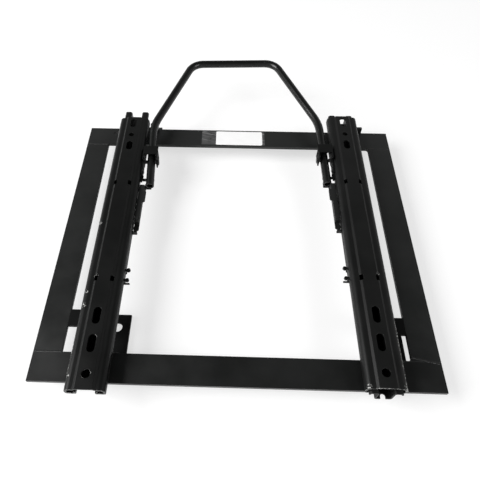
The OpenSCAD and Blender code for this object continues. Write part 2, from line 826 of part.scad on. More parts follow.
front_bar();
rear_bar();
side_bar(LEFT);  // side_bar_left
side_bar(RIGHT);  // side_bar_right
support(LEFT);  // support_left
support(RIGHT);  // support_right
front_foot(LEFT);  // front_foot_left
front_foot(RIGHT);  // front_foot_right
rear_foot(LEFT);  // rear_foot_left
rear_foot(RIGHT);  // rear_foot_right
label();
label_tape();
lower_rail(LEFT);  // lower_rail_left
lower_rail(RIGHT);  // lower_rail_right
rail_rivets(LEFT);  // rail_rivets_left
rail_rivets(RIGHT);  // rail_rivets_right
upper_rail(LEFT);  // upper_rail_left
upper_rail(RIGHT);  // upper_rail_right
bar_bracket(LEFT);  // bar_bracket_left
bar_bracket(RIGHT);  // bar_bracket_right
bracket_rivets(LEFT);  // bracket_rivets_left
bracket_rivets(RIGHT);  // bracket_rivets_right
bar_pin(LEFT);  // bar_pin_left
bar_pin(RIGHT);  // bar_pin_right
torsion_rod(LEFT);  // torsion_rod_left
torsion_rod(RIGHT);  // torsion_rod_right
lift_bar();
stop_studs();
lock_lever(LEFT);  // lock_lever_left
lock_lever(RIGHT);  // lock_lever_right
ball_cages(LEFT);  // ball_cages_left
ball_cages(RIGHT);  // ball_cages_right
rail_balls(LEFT);  // rail_balls_left
rail_balls(RIGHT);  // rail_balls_right
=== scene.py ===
"""Looks of the seat slide rail set: finishes, weld seams, sticker and tape, stage and camera."""

import logging
import math
from dataclasses import dataclass, field
from enum import Enum

import bpy
from mathutils import Matrix, Vector


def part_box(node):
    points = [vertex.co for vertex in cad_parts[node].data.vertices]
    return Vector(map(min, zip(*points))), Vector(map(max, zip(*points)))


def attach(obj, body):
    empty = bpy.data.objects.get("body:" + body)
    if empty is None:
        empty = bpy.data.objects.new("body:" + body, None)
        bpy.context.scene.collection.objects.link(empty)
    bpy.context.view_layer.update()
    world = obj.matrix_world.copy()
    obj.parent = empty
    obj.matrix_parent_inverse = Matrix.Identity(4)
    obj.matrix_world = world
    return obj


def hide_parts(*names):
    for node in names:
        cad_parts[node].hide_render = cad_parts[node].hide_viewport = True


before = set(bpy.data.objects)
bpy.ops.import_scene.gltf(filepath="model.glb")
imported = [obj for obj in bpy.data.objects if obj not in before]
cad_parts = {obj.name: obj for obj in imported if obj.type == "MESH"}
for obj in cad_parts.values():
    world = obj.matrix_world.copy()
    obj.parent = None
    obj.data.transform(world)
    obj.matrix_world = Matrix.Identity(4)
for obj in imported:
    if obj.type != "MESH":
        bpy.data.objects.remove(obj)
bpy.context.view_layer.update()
LOG = logging.getLogger("seat_rails")
MM = 0.001
QUARTER = 90.0
FLOAT = "NodeSocketFloat"
VECTOR = "NodeSocketVector"

# Places of the colour sockets on the Mix node
MIX_FACTOR, MIX_FIRST, MIX_SECOND, MIX_RESULT = 0, 6, 7, 2
# Places of the float sockets on the Random Value node
RANDOM_LEAST, RANDOM_MOST, RANDOM_RESULT = 2, 3, 1

Triple = tuple[float, float, float]
Colour = tuple[float, float, float, float]
Span = tuple[float, float]
Face = tuple[int, ...]
Shape = tuple[list[Triple], list[Face]]
Socket = bpy.types.NodeSocket


class Corner(Enum):
    """Corners of the frame as signs along X and Y."""

    REAR_LEFT = (-1, -1)
    REAR_RIGHT = (1, -1)
    FRONT_LEFT = (-1, 1)
    FRONT_RIGHT = (1, 1)


class Wear(Enum):
    """How paint is lost in a zone."""

    EDGE = "along the edges only"
    FLAKE = "in flakes that start at the edges"


@dataclass
class Tree:
    """A small hand for wiring node trees."""

    nodes: bpy.types.Nodes
    links: bpy.types.NodeLinks

    def add(self, kind: str, **settings: object) -> bpy.types.Node:
        """Adds a node and sets its properties.

        Args:
            kind: The node's type name.
            settings: Properties to set on the node.

        Returns:
            The new node.
        """
        node = self.nodes.new(kind)
        for key, value in settings.items():
            setattr(node, key, value)
        return node

    def join(self, source: Socket, target: Socket) -> None:
        """Links one socket to another."""
        self.links.new(source, target)

    def feed(self, value: object, target: Socket) -> None:
        """Links a socket to an input, or sets the input to a plain value."""
        if isinstance(value, Socket):
            self.join(value, target)
        else:
            target.default_value = value

    def math(self, operation: str, first: object, second: object, clamp: bool = False) -> Socket:
        """Adds a Math node.

        Args:
            operation: The node's operation.
            first: A socket or a number.
            second: A socket or a number.
            clamp: Whether the result is held between 0 and 1.

        Returns:
            The node's value socket.
        """
        node = self.add("ShaderNodeMath", operation=operation, use_clamp=clamp)
        self.feed(first, node.inputs[0])
        self.feed(second, node.inputs[1])
        return node.outputs[0]

    def lift(self, base: object, value: Socket, gain: float) -> Socket:
        """Returns a base, which is a socket or a number, plus gain times a value."""
        return self.math("ADD", base, self.math("MULTIPLY", value, gain))

    def vector(self, operation: str, first: Socket, second: Socket | None = None) -> bpy.types.Node:
        """Adds a Vector Math node over one or two vectors and returns the node."""
        node = self.add("ShaderNodeVectorMath", operation=operation)
        self.join(first, node.inputs[0])
        if second is not None:
            self.join(second, node.inputs[1])
        return node

    def ramp(self, value: Socket, low: float, high: float) -> Socket:
        """Maps a value smoothly from low..high to 0..1."""
        node = self.add("ShaderNodeMapRange", interpolation_type="SMOOTHSTEP")
        self.join(value, node.inputs["Value"])
        node.inputs["From Min"].default_value = low
        node.inputs["From Max"].default_value = high
        return node.outputs["Result"]

    def mix(self, factor: object, first: object, second: object) -> Socket:
        """Mixes two colours.

        Args:
            factor: A socket or a number from 0 to 1.
            first: A socket or a colour at factor 0.
            second: A socket or a colour at factor 1.

        Returns:
            The mixed colour's socket.
        """
        node = self.add("ShaderNodeMix", data_type="RGBA")
        self.feed(factor, node.inputs[MIX_FACTOR])
        self.feed(first, node.inputs[MIX_FIRST])
        self.feed(second, node.inputs[MIX_SECOND])
        return node.outputs[MIX_RESULT]

    def point(self) -> Socket:
        """Adds object coordinates and returns their socket."""
        return self.add("ShaderNodeTexCoord").outputs["Object"]

    def noise(self, point: Socket, scale: object, detail: float) -> Socket:
        """Adds a noise texture.

        Args:
            point: The coordinates to use.
            scale: A socket or a number.
            detail: The number of finer layers.

        Returns:
            The noise value's socket.
        """
        node = self.add("ShaderNodeTexNoise")
        self.join(point, node.inputs["Vector"])
        self.feed(scale, node.inputs["Scale"])
        node.inputs["Detail"].default_value = detail
        return node.outputs[0]

    def bump(self, height: Socket, strength: float, depth: float, normal: Socket | None = None) -> Socket:
        """Adds a Bump node.

        Args:
            height: The height to show.
            strength: The node's strength.
            depth: The height's full depth in metres.
            normal: The normal it starts from, or None for the face's own.

        Returns:
            The bumped normal's socket.
        """
        node = self.add("ShaderNodeBump")
        node.inputs["Strength"].default_value = strength
        node.inputs["Distance"].default_value = depth
        self.join(height, node.inputs["Height"])
        if normal is not None:
            self.join(normal, node.inputs["Normal"])
        return node.outputs["Normal"]


def grey(value: float) -> Colour:
    """A neutral colour of the given linear value."""
    return (value, value, value, 1.0)


def soot(value: float) -> Colour:
    """A faintly green black of the given linear value."""
    return (value * 0.94, value, value * 0.97, 1.0)


@dataclass(frozen=True)
class ShaderGroup:
    """A shader node group with named sockets that several finishes share."""

    name: str

    def start(
        self, inputs: dict[str, float], outputs: dict[str, str]
    ) -> tuple[bpy.types.NodeTree, Tree, dict[str, Socket], dict[str, Socket]]:
        """Makes the empty group.

        Args:
            inputs: Names and default numbers of the float inputs.
            outputs: Names and socket types of the outputs.

        Returns:
            The group, its wiring hand, its input sockets and its output sockets by name.
        """
        group = bpy.data.node_groups.new(self.name, "ShaderNodeTree")
        for name, value in inputs.items():
            socket = group.interface.new_socket(name, in_out="INPUT", socket_type=FLOAT)
            socket.default_value = value
        for name, kind in outputs.items():
            group.interface.new_socket(name, in_out="OUTPUT", socket_type=kind)
        tree = Tree(group.nodes, group.links)
        entry = tree.add("NodeGroupInput")
        leave = tree.add("NodeGroupOutput")
        return group, tree, {s.name: s for s in entry.outputs}, {s.name: s for s in leave.inputs}


@dataclass(frozen=True)
class PaintGrain(ShaderGroup):
    """Fine orange peel of sprayed paint with slow changes of gloss."""

    name: str = "paint_grain"
    peel_scale: float = 900.0
    peel_detail: float = 2.0
    blotch_scale: float = 25.0
    blotch_detail: float = 4.0
    blotch_share: float = 0.4
    gloss_span: Span = (0.3, 0.7)
    speck_scale: float = 420.0
    speck_detail: float = 4.0
    speck_share: float = 0.6

    def build(self) -> bpy.types.NodeTree:
        """Builds the group and returns it."""
        group, tree, given, out = self.start(
            {"Peel Scale": self.peel_scale, "Blotch Scale": self.blotch_scale},
            {"Height": FLOAT, "Gloss": FLOAT, "Tone": FLOAT},
        )
        point = tree.point()
        blotch = tree.noise(point, given["Blotch Scale"], self.blotch_detail)
        speck = tree.noise(point, self.speck_scale, self.speck_detail)
        tree.join(tree.noise(point, given["Peel Scale"], self.peel_detail), out["Height"])
        tree.join(tree.ramp(blotch, *self.gloss_span), out["Gloss"])
        specks = tree.math("MULTIPLY", speck, self.speck_share)
        tree.join(tree.lift(specks, blotch, self.blotch_share), out["Tone"])
        return group


@dataclass(frozen=True)
class EdgeWear(ShaderGroup):
    """Edges that are softly rounded, and a broken mask along them for rubbed paint."""

    name: str = "edge_wear"
    radius: float = 0.0006
    bite: float = 0.5
    grain: float = 260.0
    grain_detail: float = 6.0
    samples: int = 6
    turn_span: Span = (0.004, 0.12)
    break_span: Span = (0.98, 1.08)

    def build(self) -> bpy.types.NodeTree:
        """Builds the group and returns it."""
        group, tree, given, out = self.start(
            {"Radius": self.radius, "Bite": self.bite, "Grain": self.grain},
            {"Edge": FLOAT, "Worn": FLOAT, "Normal": VECTOR},
        )
        bevel = tree.add("ShaderNodeBevel", samples=self.samples)
        tree.join(given["Radius"], bevel.inputs["Radius"])
        rounded = bevel.outputs["Normal"]
        flat = tree.add("ShaderNodeNewGeometry").outputs["Normal"]
        alike = tree.vector("DOT_PRODUCT", rounded, flat).outputs["Value"]
        edge = tree.ramp(tree.math("SUBTRACT", 1.0, alike, clamp=True), *self.turn_span)
        patch = tree.noise(tree.point(), given["Grain"], self.grain_detail)
        broken = tree.ramp(tree.math("ADD", patch, given["Bite"]), *self.break_span)
        tree.join(edge, out["Edge"])
        tree.join(tree.math("MULTIPLY", edge, broken), out["Worn"])
        tree.join(rounded, out["Normal"])
        return group


@dataclass(frozen=True)
class WearZone(ShaderGroup):
    """A soft ellipsoid in object space where wear gathers."""

    name: str = "wear_zone"
    reach: float = 0.01
    soft_span: Span = (0.0, 0.5)

    def build(self) -> bpy.types.NodeTree:
        """Builds the group and returns it."""
        group, tree, given, out = self.start(
            {axis: 0.0 for axis in "XYZ"} | {"Reach " + axis: self.reach for axis in "XYZ"},
            {"Mask": FLOAT},
        )
        centre = tree.add("ShaderNodeCombineXYZ")
        reach = tree.add("ShaderNodeCombineXYZ")
        for axis in "XYZ":
            tree.join(given[axis], centre.inputs[axis])
            tree.join(given["Reach " + axis], reach.inputs[axis])
        away = tree.vector("SUBTRACT", tree.point(), centre.outputs[0])
        share = tree.vector("DIVIDE", away.outputs[0], reach.outputs[0])
        length = tree.vector("LENGTH", share.outputs[0]).outputs["Value"]
        inside = tree.math("SUBTRACT", 1.0, length, clamp=True)
        tree.join(tree.ramp(inside, *self.soft_span), out["Mask"])
        return group


@dataclass(frozen=True)
class Dust(ShaderGroup):
    """Pale dust that settles on faces that look up."""

    name: str = "settled_dust"
    amount: float = 0.3
    scale: float = 60.0
    detail: float = 8.0
    up_span: Span = (0.4, 1.0)
    patch_span: Span = (0.35, 0.75)

    def build(self) -> bpy.types.NodeTree:
        """Builds the group and returns it."""
        group, tree, given, out = self.start(
            {"Amount": self.amount, "Scale": self.scale}, {"Mask": FLOAT}
        )
        parts = tree.add("ShaderNodeSeparateXYZ")
        tree.join(tree.add("ShaderNodeNewGeometry").outputs["Normal"], parts.inputs[0])
        up = tree.ramp(parts.outputs["Z"], *self.up_span)
        cloud = tree.noise(tree.point(), given["Scale"], self.detail)
        settled = tree.math("MULTIPLY", up, tree.ramp(cloud, *self.patch_span))
        tree.join(tree.math("MULTIPLY", settled, given["Amount"]), out["Mask"])
        return group


class Groups:
    """The shared shader groups, built once."""

    def __init__(self) -> None:
        """Builds every group."""
        self.grain = PaintGrain().build()
        self.edge = EdgeWear().build()
        self.zone = WearZone().build()
        self.dust = Dust().build()

    def place(self, tree: Tree, group: bpy.types.NodeTree, **values: float) -> bpy.types.Node:
        """Places a group in a material.

        Args:
            tree: The material's wiring hand.
            group: The group to place.
            values: Input numbers, with underscores for the spaces in their names.

        Returns:
            The group node.
        """
        node = tree.add("ShaderNodeGroup", node_tree=group)
        for key, value in values.items():
            node.inputs[key.replace("_", " ")].default_value = value
        return node


@dataclass(frozen=True)
class Zone:
    """Where paint is chipped: a centre and a reach in millimetres of the shared frame."""

    centre: Triple
    reach: Triple
    wear: Wear = Wear.FLAKE


@dataclass(frozen=True)
class ChipGrain:
    """How paint breaks up in one kind of zone."""

    wear: Wear
    scale: float
    span: Span
    edge_pull: float
    detail: float = 8.0


def bare_material(name: str) -> tuple[bpy.types.Material, Tree, bpy.types.Node]:
    """Makes a material with nothing wired yet.

    Args:
        name: The material's name.

    Returns:
        The material, its wiring hand and its Principled node.
    """
    material = bpy.data.materials.new(name)
    material.use_nodes = True
    tree = Tree(material.node_tree.nodes, material.node_tree.links)
    return material, tree, tree.nodes["Principled BSDF"]


@dataclass(frozen=True)
class Finish:
    """A procedural material on one Principled shader."""

    name: str

    def wire(self, tree: Tree, shader: bpy.types.Node, groups: Groups) -> None:
        """Wires the finish; each kind of finish has its own way.

        Args:
            tree: The material's wiring hand.
            shader: The material's Principled node.
            groups: The shared shader groups.
        """
        raise NotImplementedError

    def material(self, groups: Groups) -> bpy.types.Material:
        """Builds the material from the shared shader groups and returns it."""
        material, tree, shader = bare_material(self.name)
        self.wire(tree, shader, groups)
        return material


@dataclass(frozen=True)
class BlackPaint(Finish):
    """Satin black spray paint with rubbed edges, chips and a little dust."""

    base: float = 0.006
    rough: float = 0.42
    shine: float = 0.5
    edge_bite: float = 0.30
    edge_tone: float = 0.045
    edge_radius: float = 0.0007
    dust: float = 0.10
    zones: tuple[Zone, ...] = ()
    tone_span: Span = (0.7, 1.3)
    dust_tone: Colour = (0.035, 0.034, 0.032, 1.0)
    metal_tone: Colour = (0.62, 0.62, 0.60, 1.0)
    metal_rough: float = 0.15
    gloss_dip: float = 0.05
    gloss_gain: float = 0.10
    peel_strength: float = 0.06
    peel_depth: float = 0.0002
    grains: tuple[ChipGrain, ...] = (
        ChipGrain(Wear.EDGE, 300.0, (0.80, 0.92), 0.40),
        ChipGrain(Wear.FLAKE, 620.0, (0.53, 0.60), 0.10),
    )

    def zone_mask(self, tree: Tree, groups: Groups, wear: Wear) -> Socket | None:
        """Joins the zones of one kind.

        Args:
            tree: The material's wiring hand.
            groups: The shared shader groups.
            wear: The kind of zone to join.

        Returns:
            The joined mask, or None where the finish has no such zone.
        """
        joined = None
        for zone in self.zones:
            if zone.wear is not wear:
                continue
            spot = groups.place(tree, groups.zone)
            for axis, at, reach in zip("XYZ", zone.centre, zone.reach):
                spot.inputs[axis].default_value = at * MM
                spot.inputs["Reach " + axis].default_value = reach * MM
            mask = spot.outputs["Mask"]
            joined = mask if joined is None else tree.math("MAXIMUM", joined, mask)
        return joined

    def chips(self, tree: Tree, groups: Groups, edge: Socket) -> Socket | None:
        """Breaks the zones up into chips.

        Args:
            tree: The material's wiring hand.
            groups: The shared shader groups.
            edge: The mask along the edges.

        Returns:
            The mask of bare metal, or None for a finish without zones.
        """
        point = tree.point()
        bare = None
        for grain in self.grains:
            mask = self.zone_mask(tree, groups, grain.wear)
            if mask is None:
                continue
            flakes = tree.noise(point, grain.scale, grain.detail)
            pulled = tree.math("ADD", tree.math("MULTIPLY", edge, grain.edge_pull), flakes)
            chip = tree.math("MULTIPLY", tree.ramp(pulled, *grain.span), mask)
            bare = chip if bare is None else tree.math("MAXIMUM", bare, chip)
        return bare

    def wire(self, tree: Tree, shader: bpy.types.Node, groups: Groups) -> None:
        """Wires the paint.

        Args:
            tree: The material's wiring hand.
            shader: The material's Principled node.
            groups: The shared shader groups.
        """
        grain = groups.place(tree, groups.grain)
        edge = groups.place(tree, groups.edge, Radius=self.edge_radius, Bite=self.edge_bite)
        dust = groups.place(tree, groups.dust, Amount=self.dust)
        dark, light = (soot(self.base * share) for share in self.tone_span)
        tone = tree.mix(grain.outputs["Tone"], dark, light)
        rubbed = tree.mix(edge.outputs["Worn"], tone, grey(self.edge_tone))
        colour = tree.mix(dust.outputs["Mask"], rubbed, self.dust_tone)
        rough = tree.lift(self.rough - self.gloss_dip, grain.outputs["Gloss"], self.gloss_gain)
        bare = self.chips(tree, groups, edge.outputs["Edge"])
        if bare is not None:
            colour = tree.mix(bare, colour, self.metal_tone)
            rough = tree.lift(rough, bare, self.metal_rough)
        tree.join(colour, shader.inputs["Base Color"])
        tree.join(rough, shader.inputs["Roughness"])
        shader.inputs["Specular IOR Level"].default_value = self.shine
        peel = tree.bump(
            grain.outputs["Height"], self.peel_strength, self.peel_depth, edge.outputs["Normal"]
        )
        tree.join(peel, shader.inputs["Normal"])


@dataclass(frozen=True)
class Steel(Finish):
    """Steel with turning marks and a dull oxide bloom."""

    light: float = 0.3
    dark: float = 0.12
    rough: float = 0.38
    metal: float = 0.9
    edge_radius: float = 0.0004
    edge_bite: float = 0.5
    edge_gain: float = 1.4
    bloom_scale: float = 300.0
    bloom_detail: float = 6.0
    bloom_dip: float = 0.08
    bloom_gain: float = 0.16
    mark_scale: float = 1800.0
    mark_detail: float = 2.0
    mark_strength: float = 0.1
    mark_depth: float = 0.0001

    def wire(self, tree: Tree, shader: bpy.types.Node, groups: Groups) -> None:
        """Wires the steel.

        Args:
            tree: The material's wiring hand.
            shader: The material's Principled node.
            groups: The shared shader groups.
        """
        point = tree.point()
        edge = groups.place(tree, groups.edge, Radius=self.edge_radius, Bite=self.edge_bite)
        bloom = tree.noise(point, self.bloom_scale, self.bloom_detail)
        tone = tree.mix(bloom, grey(self.dark), grey(self.light))
        colour = tree.mix(edge.outputs["Worn"], tone, grey(self.light * self.edge_gain))
        tree.join(colour, shader.inputs["Base Color"])
        rough = tree.lift(self.rough - self.bloom_dip, bloom, self.bloom_gain)
        tree.join(rough, shader.inputs["Roughness"])
        shader.inputs["Metallic"].default_value = self.metal
        marks = tree.noise(point, self.mark_scale, self.mark_detail)
        turned = tree.bump(marks, self.mark_strength, self.mark_depth, edge.outputs["Normal"])
        tree.join(turned, shader.inputs["Normal"])


@dataclass(frozen=True)
class Nylon(Finish):
    """Moulded natural nylon with a faint grease stain."""

    stained: Colour = (0.52, 0.49, 0.40, 1.0)
    clean: Colour = (0.68, 0.66, 0.58, 1.0)
    rough: float = 0.4
    gloss_gain: float = 0.15
    grain_scale: float = 2400.0
    stain_scale: float = 120.0
    grain_strength: float = 0.08
    grain_depth: float = 0.0001

    def wire(self, tree: Tree, shader: bpy.types.Node, groups: Groups) -> None:
        """Wires the nylon.

        Args:
            tree: The material's wiring hand.
            shader: The material's Principled node.
            groups: The shared shader groups.
        """
        grain = groups.place(
            tree, groups.grain, Peel_Scale=self.grain_scale, Blotch_Scale=self.stain_scale
        )
        gloss = grain.outputs["Gloss"]
        tree.join(tree.mix(gloss, self.stained, self.clean), shader.inputs["Base Color"])
        tree.join(tree.lift(self.rough, gloss, self.gloss_gain), shader.inputs["Roughness"])
        moulded = tree.bump(grain.outputs["Height"], self.grain_strength, self.grain_depth)
        tree.join(moulded, shader.inputs["Normal"])


@dataclass(frozen=True)
class Sticker(Finish):
    """Blank white sticker stock with paper tooth and handling marks."""

    shade: float = 0.95
    tone_span: Span = (0.93, 1.04)
    rough: float = 0.45
    gloss_gain: float = 0.2
    tooth_scale: float = 3000.0
    mark_scale: float = 70.0
    tooth_strength: float = 0.05
    tooth_depth: float = 0.0001

    def wire(self, tree: Tree, shader: bpy.types.Node, groups: Groups) -> None:
        """Wires the sticker stock.

        Args:
            tree: The material's wiring hand.
            shader: The material's Principled node.
            groups: The shared shader groups.
        """
        grain = groups.place(
            tree, groups.grain, Peel_Scale=self.tooth_scale, Blotch_Scale=self.mark_scale
        )
        dark, light = (grey(self.shade * share) for share in self.tone_span)
        tree.join(tree.mix(grain.outputs["Tone"], dark, light), shader.inputs["Base Color"])
        rough = tree.lift(self.rough, grain.outputs["Gloss"], self.gloss_gain)
        tree.join(rough, shader.inputs["Roughness"])
        tooth = tree.bump(grain.outputs["Height"], self.tooth_strength, self.tooth_depth)
        tree.join(tooth, shader.inputs["Normal"])


@dataclass(frozen=True)
class Tape(Finish):
    """Clear tape over black paint, with lighter slanted streaks that are slightly raised."""

    film: float = 0.062
    film_span: Span = (0.75, 1.2)
    rough: float = 0.25
    gloss_gain: float = 0.2
    grain_scale: float = 500.0
    blotch_scale: float = 110.0
    streak_turn: float = -14.0
    streak_run: float = 14.0
    streak_scale: float = 300.0
    streak_detail: float = 1.0
    streak_span: Span = (0.56, 0.66)
    streak_gain: float = 3.0
    streak_strength: float = 0.12
    streak_depth: float = 0.0002

    def wire(self, tree: Tree, shader: bpy.types.Node, groups: Groups) -> None:
        """Wires the tape.

        Args:
            tree: The material's wiring hand.
            shader: The material's Principled node.
            groups: The shared shader groups.
        """
        lay = tree.add("ShaderNodeMapping", vector_type="TEXTURE")
        lay.inputs["Rotation"].default_value = (0.0, 0.0, math.radians(self.streak_turn))
        lay.inputs["Scale"].default_value = (self.streak_run, 1.0, 1.0)
        tree.join(tree.point(), lay.inputs["Vector"])
        streak_noise = tree.noise(lay.outputs[0], self.streak_scale, self.streak_detail)
        streak = tree.ramp(streak_noise, *self.streak_span)
        grain = groups.place(
            tree, groups.grain, Peel_Scale=self.grain_scale, Blotch_Scale=self.blotch_scale
        )
        gloss = grain.outputs["Gloss"]
        dark, light = (grey(self.film * share) for share in self.film_span)
        film = tree.mix(gloss, dark, light)
        colour = tree.mix(streak, film, grey(self.film * self.streak_gain))
        tree.join(colour, shader.inputs["Base Color"])
        tree.join(tree.lift(self.rough, gloss, self.gloss_gain), shader.inputs["Roughness"])
        raised = tree.bump(streak, self.streak_strength, self.streak_depth)
        tree.join(raised, shader.inputs["Normal"])


@dataclass(frozen=True)
class Lamp:
    """A soft square lamp that looks at the origin, in metres and watts."""

    name: str
    at: Triple
    side: float
    power: float

    def hang(self) -> None:
        """Hangs the lamp."""
        data = bpy.data.lights.new(self.name, "AREA")
        data.size = self.side
        data.energy = self.power
        lamp = bpy.data.objects.new(self.name, data)
        lamp.location = self.at
        lamp.rotation_euler = (-Vector(self.at)).to_track_quat("-Z", "Y").to_euler()
        bpy.context.collection.objects.link(lamp)


@dataclass
class Stage:
    """Pale floor, soft studio lamps and the camera at the photograph's angle."""

    camera_at: Triple = (-11.91, -405.61, 526.48)
    pitch: float = math.radians(55.181)
    yaw: float = math.radians(-2.025)
    roll: float = math.radians(0.29)
    lens: float = 36.0
    sensor: float = 36.0
    shift_x: float = 0.0467
    clip_near: float = 0.01
    floor_half: float = 6.0
    floor_span: Span = (0.93, 0.95)
    floor_scale: float = 2.0
    floor_detail: float = 2.0
    floor_rough: float = 0.9
    floor_shine: float = 0.1
    floor_camera_shade: float = 0.44
    floor_camera_glow: float = 0.605
    sky_low: float = 0.40
    sky_high: float = 0.03
    sky_span: Span = (0.45, 0.9)
    lamps: tuple[Lamp, ...] = (
        Lamp("key", (-1.88, -0.4, 1.55), 1.5, 74.0),
        Lamp("fill", (1.8, -1.0, 1.55), 1.2, 25.0),
    )

    def floor_material(self) -> bpy.types.Material:
        """Makes the floor's finish, which shows the camera near white with soft shadows.

        Returns:
            The finished material.
        """
        material, tree, shader = bare_material("studio_floor")
        cloud = tree.noise(tree.point(), self.floor_scale, self.floor_detail)
        dark, light = (grey(shade) for shade in self.floor_span)
        shade = tree.mix(cloud, dark, light)
        seen = tree.add("ShaderNodeLightPath").outputs["Is Camera Ray"]
        colour = tree.mix(seen, shade, grey(self.floor_camera_shade))
        glow = tree.mix(seen, grey(0.0), grey(self.floor_camera_glow))
        tree.join(colour, shader.inputs["Base Color"])
        tree.join(glow, shader.inputs["Emission Color"])
        shader.inputs["Emission Strength"].default_value = 1.0
        shader.inputs["Roughness"].default_value = self.floor_rough
        shader.inputs["Specular IOR Level"].default_value = self.floor_shine
        return material

    def floor(self) -> None:
        """Lays the floor."""
        mesh = bpy.data.meshes.new("floor")
        h = self.floor_half
        mesh.from_pydata([(-h, -h, 0), (h, -h, 0), (h, h, 0), (-h, h, 0)], [], [(0, 1, 2, 3)])
        mesh.materials.append(self.floor_material())
        floor = bpy.data.objects.new("floor", mesh)
        bpy.context.collection.objects.link(floor)

    def sky(self) -> None:
        """Sets the studio surround: pale walls under a dark ceiling, and white to the camera."""
        world = bpy.data.worlds.new("studio")
        world.use_nodes = True
        tree = Tree(world.node_tree.nodes, world.node_tree.links)
        back = world.node_tree.nodes["Background"]
        parts = tree.add("ShaderNodeSeparateXYZ")
        tree.join(tree.add("ShaderNodeTexCoord").outputs["Generated"], parts.inputs[0])
        height = tree.ramp(parts.outputs["Z"], *self.sky_span)
        walls = tree.mix(height, grey(self.sky_low), grey(self.sky_high))
        seen = tree.add("ShaderNodeLightPath").outputs["Is Camera Ray"]
        tree.join(tree.mix(seen, walls, grey(1.0)), back.inputs["Color"])
        bpy.context.scene.world = world

    def camera(self) -> None:
        """Sets up the camera from the solved view."""
        level, fall = math.cos(self.pitch), -math.sin(self.pitch)
        ahead = Vector((math.sin(self.yaw) * level, math.cos(self.yaw) * level, fall))
        right = Vector((math.cos(self.yaw), -math.sin(self.yaw), 0.0))
        down = ahead.cross(right)
        rolled_right = right * math.cos(self.roll) + down * math.sin(self.roll)
        rolled_down = down * math.cos(self.roll) - right * math.sin(self.roll)
        data = bpy.data.cameras.new("camera")
        data.sensor_width = self.sensor
        data.lens = self.lens
        data.shift_x = self.shift_x
        data.clip_start = self.clip_near
        camera = bpy.data.objects.new("camera", data)
        turn = Matrix((rolled_right, -rolled_down, -ahead)).transposed().to_4x4()
        camera.matrix_world = Matrix.Translation(Vector(self.camera_at) * MM) @ turn
        bpy.context.collection.objects.link(camera)
        bpy.context.scene.camera = camera

    def build(self) -> None:
        """Builds the stage."""
        bpy.context.scene.view_settings.view_transform = "Standard"
        self.floor()
        self.sky()
        for lamp in self.lamps:
            lamp.hang()
        self.camera()


def band(start: int, count: int) -> list[Face]:
    """Lists the faces between a ring of points and the ring that follows it.

    Args:
        start: The index of the first ring's first point.
        count: The number of points in a ring.

    Returns:
        The faces, which look outward where the second ring is above and both run anticlockwise.
    """
    faces = []
    for i in range(count):
        j = (i + 1) % count
        faces.append((start + i, start + j, start + count + j, start + count + i))
    return faces


def base_piece(name: str, shape: Shape, material: bpy.types.Material) -> bpy.types.Object:
    """Makes a piece that rides the base.

    Args:
        name: The piece's name.
        shape: Its points in metres and its faces.
        material: Its finish.

    Returns:
        The piece.
    """
    points, faces = shape
    mesh = bpy.data.meshes.new(name)
    mesh.from_pydata(points, [], faces)
    mesh.materials.append(material)
    piece = bpy.data.objects.new(name, mesh)
    bpy.context.collection.objects.link(piece)
    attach(piece, "base")
    LOG.info("built %s", name)
    return piece


def joined(shapes: list[Shape]) -> Shape:
    """Joins shapes into one, in their order."""
    points: list[Triple] = []
    faces: list[Face] = []
    for more_points, more_faces in shapes:
        first = len(points)
        points += more_points
        faces += [tuple(first + i for i in face) for face in more_faces]
    return points, faces


@dataclass(frozen=True)
class Bead:
    """The section of a weld in millimetres: width, height and the pitch of its ripples."""

    width: float
    height: float
    pitch: float


@dataclass(frozen=True)
class Seam:
    """A run of weld between two points, in millimetres of the shared frame."""

    start: Triple
    end: Triple
    bead: Bead


